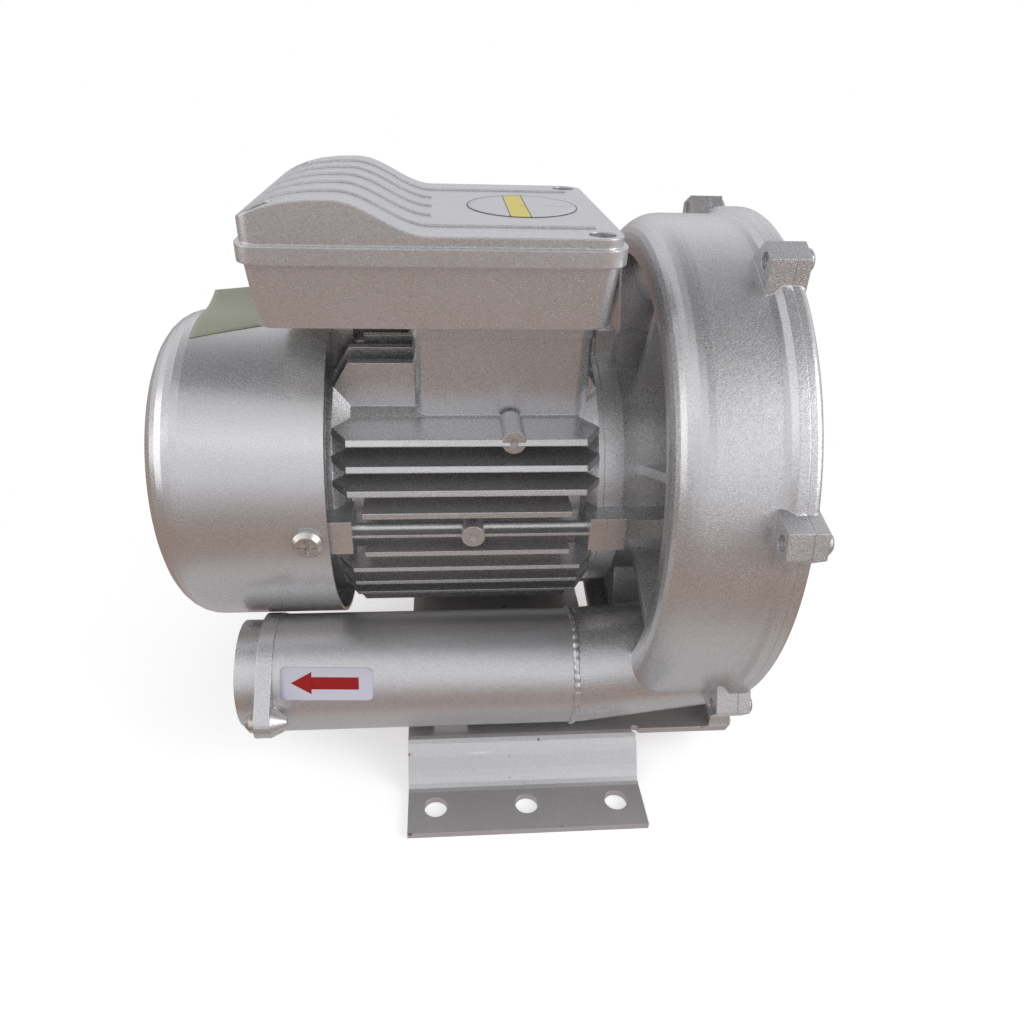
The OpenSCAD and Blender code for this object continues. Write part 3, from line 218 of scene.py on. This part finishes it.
def silver_paint(name, rough, pebble, grain=0.09, edge=0.0006, wear=0.0):
    """Silver metallic paint: fine flakes over a cast or bent surface.

    Where it is worn, rust specks and bare scratches show.
    """
    f = Finish(name)
    flake = f.flakes(FLAKES)
    cloud = f.noise(CLOUDS, 5, 0.6)
    grit = f.noise(GRIT, 2, 0.6)
    shade = flake * (2 * grain) + cloud * 0.10 + (0.95 - grain)
    colour = f.mix((shade - 0.55) * 1.5, *shades(SILVER, DARKER, BRIGHTER))
    if wear:
        speck = ((f.noise(RUST_SPECKS, 3, 0.6) - RUST_LEVEL) * RUST_SHARP).clipped()
        speck = speck * (f.noise(WORN_AREAS, 2) > WORN_LEVEL)
        scratch = f.noise(SCRATCHES, 3, 0.7, SCRATCH_STRETCH)
        scratch = ((scratch - SCRATCH_LEVEL) * SCRATCH_SHARP).clipped()
        colour = f.mix(speck * wear, colour, RUST)
        colour = f.mix(scratch * SCRATCH_SHARE * wear, colour, BARE)
    middle = (CLOUD_SHEEN + FLAKE_SHEEN) / 2
    f.set(
        Base_Color=colour,
        Metallic=PAINT_METAL,
        Roughness=cloud * CLOUD_SHEEN + flake * FLAKE_SHEEN + (rough - middle),
    )
    height = flake * 0.35 + grit * pebble + f.noise(LUMPS, 2) * pebble
    return f.bump(height, PAINT_DEPTH, edge)


def plain(name, colour, rough, metallic=0.0, scale=900, depth=0.00003, vary=0.12, edge=0.0003):
    """A moulded, turned or plated surface with a fine mottle."""
    f = Finish(name)
    cloud = f.noise(scale, 3, 0.6)
    f.set(
        Base_Color=f.mix(cloud, *shades(colour, 1 - vary, 1 + vary)),
        Metallic=metallic,
        Roughness=cloud * PLAIN_SHEEN + (rough - PLAIN_SHEEN / 2),
    )
    return f.bump(cloud, depth, edge)


casting = silver_paint("cast_silver_paint", rough=0.29, pebble=0.8)
sheet = silver_paint("cowl_silver_paint", rough=0.25, grain=0.05, pebble=0.15, edge=0.0003)
box_paint = silver_paint("box_silver_paint", rough=0.30, grain=0.06, pebble=0.22, edge=0.0008)
foot_paint = silver_paint(
    "foot_silver_paint", rough=0.34, grain=0.07, pebble=0.3, edge=0.0005, wear=1.0
)
tube_paint = silver_paint("tube_silver_paint", rough=0.34, grain=0.10, pebble=1.2)

FINISH_OF_SLOT = {
    "cast_paint": casting,
    "silver_paint": sheet,
    "foot_paint": foot_paint,
    "zinc_steel": plain("zinc_plate", (0.62, 0.61, 0.58), 0.34, 0.95),
    "bright_steel": plain("ground_steel", (0.62, 0.62, 0.63), 0.26, 1.0),
    "black_rubber": plain("black_rubber", (0.025, 0.025, 0.025), 0.7),
    "grey_foam": plain("grey_foam", (0.10, 0.10, 0.105), 0.95, 0.0, 500, 0.0006, 0.5),
    "core_steel": plain("varnished_core", (0.16, 0.16, 0.17), 0.5, 0.6),
    "copper_wire": plain("copper_wire", (0.50, 0.20, 0.09), 0.4, 0.8, 1200, 0.0003),
    "brass": plain("turned_brass", (0.72, 0.54, 0.24), 0.3, 1.0),
    "bare_aluminium": plain("bare_aluminium", (0.66, 0.66, 0.67), 0.45, 0.95, 700, 0.00008),
    "black_plastic": plain("black_plastic", (0.03, 0.03, 0.032), 0.45),
    "brown_plastic": plain("brown_plastic", (0.13, 0.055, 0.03), 0.4),
    "white_plastic": plain("white_plastic", (0.72, 0.72, 0.70), 0.35),
}
# Pieces whose finish differs from the rest of their slot
FINISH_OF_NODE = {
    "terminal_box": box_paint,
    "terminal_box_lid": box_paint,
    "outlet_silencer_tube": tube_paint,
    "inlet_silencer_tube": tube_paint,
    "tie_bolts": casting,
    "cover_bolts": casting,
    "silencer_seals": casting,
}


def paint(piece, finish):
    piece.data.materials.clear()
    piece.data.materials.append(finish.material)


slots = {part["node"]: part["material_slot"] for part in frame["record"]["subparts"]}
for name, piece in frame["nodes"].items():
    paint(piece, FINISH_OF_NODE.get(name) or FINISH_OF_SLOT[slots[name]])


# Pieces


def add_piece(name, points, faces, finish, body):
    mesh = bpy.data.meshes.new(name)
    mesh.from_pydata([tuple(p) for p in points], [], faces)
    mesh.update()
    piece = bpy.data.objects.new(name, mesh)
    bpy.context.scene.collection.objects.link(piece)
    for face in mesh.polygons:
        face.use_smooth = True
    paint(piece, finish)
    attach(piece, body)
    return piece


def grid_faces(rows, columns):
    return [
        (r * columns + c, r * columns + c + 1, (r + 1) * columns + c + 1, (r + 1) * columns + c)
        for r in range(rows - 1)
        for c in range(columns - 1)
    ]


def ring_faces(turns, sides):
    """The faces of a closed ring of that many sides round its section."""
    return [
        (
            i * sides + k,
            i * sides + (k + 1) % sides,
            (i + 1) % turns * sides + (k + 1) % sides,
            (i + 1) % turns * sides + k,
        )
        for i in range(turns)
        for k in range(sides)
    ]


def add_sheet(name, rows, thickness, finish, body):
    """A thin sheet through rows of points, thickened to both sides."""
    points = [p for row in rows for p in row]
    piece = add_piece(name, points, grid_faces(len(rows), len(rows[0])), finish, body)
    skin = piece.modifiers.new("thickness", "SOLIDIFY")
    skin.thickness = thickness
    skin.offset = 0
    return piece


def round_end(across, half, corner):
    """How far a round-cornered sheet draws in at that place across it."""
    over = abs(across) - (half - corner)
    return corner - math.sqrt(max(0.0, corner**2 - over**2)) if over > 0 else 0.0


# The welded seams between the silencer tubes and the casing
TUBE_Y, TUBE_Z, TUBE_R = -61.5 * MM, 50.5 * MM, 26.5 * MM
SEAM_X = (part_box("silencer_seals")[0].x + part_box("silencer_seals")[1].x) / 2
BEAD_TURNS, BEAD_SIDES, BEAD_RIPPLES = 288, 10, 44
# Half width and height in mm, and how far they swell and wander
BEAD_WIDTH, BEAD_HEIGHT, RIPPLE_RISE = 1.25, 0.75, 0.35
BEAD_SWELL, SWELLS = 0.12, 7
BEAD_WANDER, WANDERS = 0.25, 5


def add_seam_bead(name, side_y):
    """A bead of overlapping ripples round a tube."""
    points = []
    for i in range(BEAD_TURNS):
        angle = math.tau * i / BEAD_TURNS
        ripple = abs(math.sin(BEAD_RIPPLES * angle / 2))
        swell = BEAD_SWELL * math.sin(SWELLS * angle)
        width = (BEAD_WIDTH + RIPPLE_RISE * ripple + swell) * MM
        height = (BEAD_HEIGHT + RIPPLE_RISE * ripple) * MM
        shift = BEAD_WANDER * MM * math.sin(WANDERS * angle + 1)
        for k in range(BEAD_SIDES):
            turn = math.tau * k / BEAD_SIDES
            radius = TUBE_R + height * math.sin(turn)
            x = SEAM_X + shift + width * math.cos(turn)
            points.append((x, side_y - radius * math.cos(angle), TUBE_Z + radius * math.sin(angle)))
    faces = ring_faces(BEAD_TURNS, BEAD_SIDES)
    add_piece(name, points, faces, casting, "frame")


# Films and inks: how thick they are, and where their middle lies over the surface
FILM, FILM_LIFT = 0.14 * MM, 0.12 * MM
INK, INK_LIFT = 0.06 * MM, 0.22 * MM
INK_GREY = (0.10, 0.10, 0.10)


def film(name, colour, print_on=None):
    """Printed film; print_on adds what is printed over its one colour."""
    f = Finish(name)
    cloud = f.noise(120, 3)
    shade = f.mix(cloud, tuple(0.92 * c for c in colour), colour)
    if print_on:
        shade = print_on(f, shade)
    f.set(
        Base_Color=shade,
        Metallic=0.0,
        Roughness=cloud * 0.1 + 0.34,
        Specular_IOR_Level=0.25,
    )
    return f.bump(cloud, 0.00002)


# The direction sticker, wrapped round the outlet tube; angles in degrees round it
STICKER_X, STICKER_HALF, STICKER_CORNER = -86.9 * MM, 19.6 * MM, 2.2 * MM
# STICKER_TILT is in degrees per metre along the tube
STICKER_ANGLE, STICKER_SPREAD, STICKER_TILT = 29.5, 15.7, -77.0
ARROW_ANGLE, HEAD_SPREAD, SHAFT_SPREAD = 30.3, 10.2, 5.6
HEAD_TIP, HEAD_BASE, SHAFT_END = -101.9 * MM, -93.3 * MM, -73.3 * MM
# The head's corners stop this short of its base, so that no face is empty
HEAD_REACH = 0.995
STICKER_STEPS = 28


def on_tube(x, angle, lift):
    turned = math.radians(angle + STICKER_TILT * (x - STICKER_X))
    r = TUBE_R + lift
    return Vector((x, TUBE_Y - r * math.cos(turned), TUBE_Z + r * math.sin(turned)))


def tube_rows(angle, spread, x_limits, lift, steps=14, columns=16):
    """Rows of points along the tube, between the limits at each place across."""
    rows = []
    for i in range(steps + 1):
        across = -spread + 2 * spread * i / steps
        x0, x1 = x_limits(across)
        xs = [x0 + (x1 - x0) * c / columns for c in range(columns + 1)]
        rows.append([on_tube(x, angle + across, lift) for x in xs])
    return rows


def sticker_limits(across):
    half = TUBE_R * math.radians(STICKER_SPREAD)
    inset = round_end(TUBE_R * math.radians(across), half, STICKER_CORNER)
    return STICKER_X - STICKER_HALF + inset, STICKER_X + STICKER_HALF - inset


def head_limits(across):
    share = min(abs(across) / HEAD_SPREAD, HEAD_REACH)
    return HEAD_TIP + (HEAD_BASE - HEAD_TIP) * share, HEAD_BASE


def shaft_limits(across):
    return HEAD_BASE, SHAFT_END


def add_direction_sticker():
    rows = tube_rows(STICKER_ANGLE, STICKER_SPREAD, sticker_limits, FILM_LIFT, STICKER_STEPS)
    add_sheet("direction_sticker", rows, FILM, sticker_film, "frame")
    rows = tube_rows(ARROW_ANGLE, HEAD_SPREAD, head_limits, INK_LIFT)
    add_sheet("arrow_head", rows, INK, red_ink, "frame")
    rows = tube_rows(ARROW_ANGLE, SHAFT_SPREAD, shaft_limits, INK_LIFT)
    add_sheet("arrow_shaft", rows, INK, red_ink, "frame")


# The oval sticker on the lid's flat part
OVAL_X, OVAL_Y, OVAL_RX, OVAL_RY = -2.5 * MM, 3.2 * MM, 22.5 * MM, 25 * MM
OVAL_RINGS, OVAL_POINTS, OVAL_HUB = 8, 64, 0.01
OVAL_LIFT = 0.1 * MM
LID_HUMP, LID_LINE = 11 * MM, 0.6 * MM
BAND_YELLOW = (0.75, 0.62, 0.10)
BAND_X, BAND_HALF, LINE_HALF = -4.9 * MM, 4.0 * MM, 0.25 * MM
# The share of the oval inside its dark edge, squared
EDGE_FROM = 0.955


def print_oval(f, shade):
    """A yellow band between two dark lines, and the oval's dark edge."""
    x, y, _ = f.axes()
    off = (x - BAND_X).size()
    lines = (off > BAND_HALF - LINE_HALF) * (off < BAND_HALF + LINE_HALF)
    out = ((x - OVAL_X) / OVAL_RX) ** 2.0 + ((y - OVAL_Y) / OVAL_RY) ** 2.0
    shade = f.mix(off < BAND_HALF, shade, BAND_YELLOW)
    shade = f.mix(lines, shade, INK_GREY)
    return f.mix(out > EDGE_FROM, shade, INK_GREY)


def add_oval_sticker():
    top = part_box("terminal_box_lid")[1].z - LID_HUMP - LID_LINE + OVAL_LIFT
    rings = []
    for i in range(OVAL_RINGS + 1):
        share = max(i / OVAL_RINGS, OVAL_HUB)
        ring = []
        for k in range(OVAL_POINTS + 1):
            turn = math.tau * k / OVAL_POINTS
            x = OVAL_X + OVAL_RX * share * math.cos(turn)
            y = OVAL_Y + OVAL_RY * share * math.sin(turn)
            ring.append((x, y, top))
        rings.append(ring)
    add_sheet("oval_sticker", rings, FILM, oval_film, "frame")


# The plate that curls off the top of the cowl
COWL_R, SHAFT_Z = 70 * MM, 126 * MM
PLATE_X0, PLATE_X1, PLATE_THICK = -137 * MM, -95 * MM, 0.3 * MM
PLATE_LIFT, PLATE_HELD = 0.2 * MM, 4 * MM
# Each long edge in mm: where it starts, and how far it slants along the plate
NEAR_EDGE, NEAR_SLANT = -20.7, 15.0
FAR_EDGE, FAR_SLANT = 27.7, 7.0
# Beyond the held part the plate falls by a slope and rises by a curve, per metre
CURL_FALL, CURL_RISE = 0.06, 8.0
PLATE_ROWS, PLATE_COLUMNS = 24, 20


def add_curled_plate():
    length = PLATE_X1 - PLATE_X0
    rows = []
    for i in range(PLATE_ROWS + 1):
        share = i / PLATE_ROWS
        row = []
        for k in range(PLATE_COLUMNS + 1):
            x = PLATE_X0 + length * k / PLATE_COLUMNS
            near = (NEAR_EDGE + NEAR_SLANT * (x - PLATE_X0) / length) * MM
            far = (FAR_EDGE + FAR_SLANT * (x - PLATE_X0) / length) * MM
            y = near + (far - near) * share
            held = min(y, PLATE_HELD)
            z = SHAFT_Z + math.sqrt((COWL_R + PLATE_LIFT) ** 2 - held**2)
            over = y - held
            row.append((x, y, z - CURL_FALL * over + CURL_RISE * over**2))
        rows.append(row)
    add_sheet("curled_plate", rows, PLATE_THICK, plate_foil, "frame")


sticker_film = film("white_film", (0.54, 0.525, 0.60))
red_ink = film("red_ink", (0.30, 0.004, 0.003))
oval_film = film("oval_film", (0.62, 0.62, 0.66), print_oval)
plate_foil = film("plate_foil", (0.40, 0.41, 0.31))

add_seam_bead("outlet_seam_bead", TUBE_Y)
add_seam_bead("inlet_seam_bead", -TUBE_Y)
add_direction_sticker()
add_oval_sticker()
add_curled_plate()


# Stage, lights and camera

WHITE = (1, 1, 1)
FLOOR_HALF, FLOOR_ROUGH = 6.0, 0.95
FLOOR_GREY, FLOOR_GLOW = (0.85, 0.85, 0.85), (0.42, 0.42, 0.42)
# The floor turns white from this far off, over this length
FADE_FROM, FADE_RUN = 0.16, 0.22
# Each softbox: name, place, target, width, height and power in watts
SOFTBOXES = [
    ("key_light", (-0.5, -0.6, 1.1), (0, 0, 0.1), 1.1, 0.7, 1.2),
    ("side_light", (0.9, -0.5, 0.6), (0, 0, 0.12), 0.5, 0.8, 4.5),
    ("left_light", (-0.9, -0.1, 0.35), (0, 0, 0.12), 0.5, 0.5, 1.0),
]
# The room in reflections, from straight below (0) to straight above (1)
ROOM = [
    (0.0, (0.48, 0.47, 0.47)),
    (0.09, (0.56, 0.54, 0.54)),
    (0.17, (0.33, 0.245, 0.205)),
    (0.25, (0.31, 0.19, 0.13)),
    (0.40, (0.30, 0.235, 0.21)),
    (0.50, (0.48, 0.455, 0.46)),
    (0.62, (0.84, 0.84, 0.89)),
    (0.76, (1.0, 1.0, 1.03)),
    (0.88, (0.60, 0.60, 0.62)),
    (1.0, (0.09, 0.09, 0.095)),
]
LENS, SENSOR, CLIP_START = 27.01, 36, 0.01
SHIFT_X, SHIFT_Y = 0.01075, 0.0243
CAMERA_PLACE = (-0.03602, -0.33129, 0.29553)
CAMERA_TURN = (57.374, -1.594, -4.025)


def add_floor():
    """A pale floor that fades to plain white away from the blower."""
    half = FLOOR_HALF
    mesh = bpy.data.meshes.new("floor")
    corners = [(-half, -half, 0), (half, -half, 0), (half, half, 0), (-half, half, 0)]
    mesh.from_pydata(corners, [], [(0, 1, 2, 3)])
    floor = bpy.data.objects.new("floor", mesh)
    bpy.context.scene.collection.objects.link(floor)
    pale = Finish("pale_floor")
    x, y, _ = pale.axes()
    away = (x * x + y * y).root()
    fade = ((away - FADE_FROM) / FADE_RUN).clipped()
    pale.set(
        Base_Color=pale.mix(fade, FLOOR_GREY, (0, 0, 0)),
        Emission_Color=pale.mix(fade, FLOOR_GLOW, WHITE),
        Emission_Strength=1.0,
        Roughness=FLOOR_ROUGH,
        Specular_IOR_Level=0.0,
    )
    paint(floor, pale)
    floor.visible_glossy = False


def add_softbox(name, place, target, width, height, power):
    light = bpy.data.lights.new(name, "AREA")
    light.shape = "RECTANGLE"
    light.size, light.size_y = width, height
    light.energy = power
    lamp = bpy.data.objects.new(name, light)
    bpy.context.scene.collection.objects.link(lamp)
    lamp.location = place
    aim = Vector(target) - Vector(place)
    lamp.rotation_euler = aim.to_track_quat("-Z", "Y").to_euler()


def add_world():
    """A soft room in reflections, and plain white where the camera sees it."""
    world = bpy.data.worlds.new("studio")
    world.use_nodes = True
    bpy.context.scene.world = world
    t = Tree(world.node_tree)
    way = t.node("ShaderNodeTexCoord", output="Generated")
    height = t.node("ShaderNodeSeparateXYZ", inputs={0: way}, output="Z")
    room = t.ramp(height * 0.5 + 0.5, ROOM)
    seen = t.node("ShaderNodeLightPath", output="Is Camera Ray")
    colour = t.mix(seen, room, WHITE)
    back = t.node("ShaderNodeBackground", inputs={"Color": colour, "Strength": 1.0})
    t.node("ShaderNodeOutputWorld", inputs={"Surface": back})


def add_camera():
    data = bpy.data.cameras.new("camera")
    camera = bpy.data.objects.new("camera", data)
    bpy.context.scene.collection.objects.link(camera)
    bpy.context.scene.camera = camera
    data.sensor_width = SENSOR
    data.lens = LENS
    data.shift_x = SHIFT_X
    data.shift_y = SHIFT_Y
    data.clip_start = CLIP_START
    camera.location = CAMERA_PLACE
    camera.rotation_euler = [math.radians(a) for a in CAMERA_TURN]


add_floor()
for softbox in SOFTBOXES:
    add_softbox(*softbox)
add_world()
add_camera()
bpy.context.scene.view_settings.view_transform = "Standard"
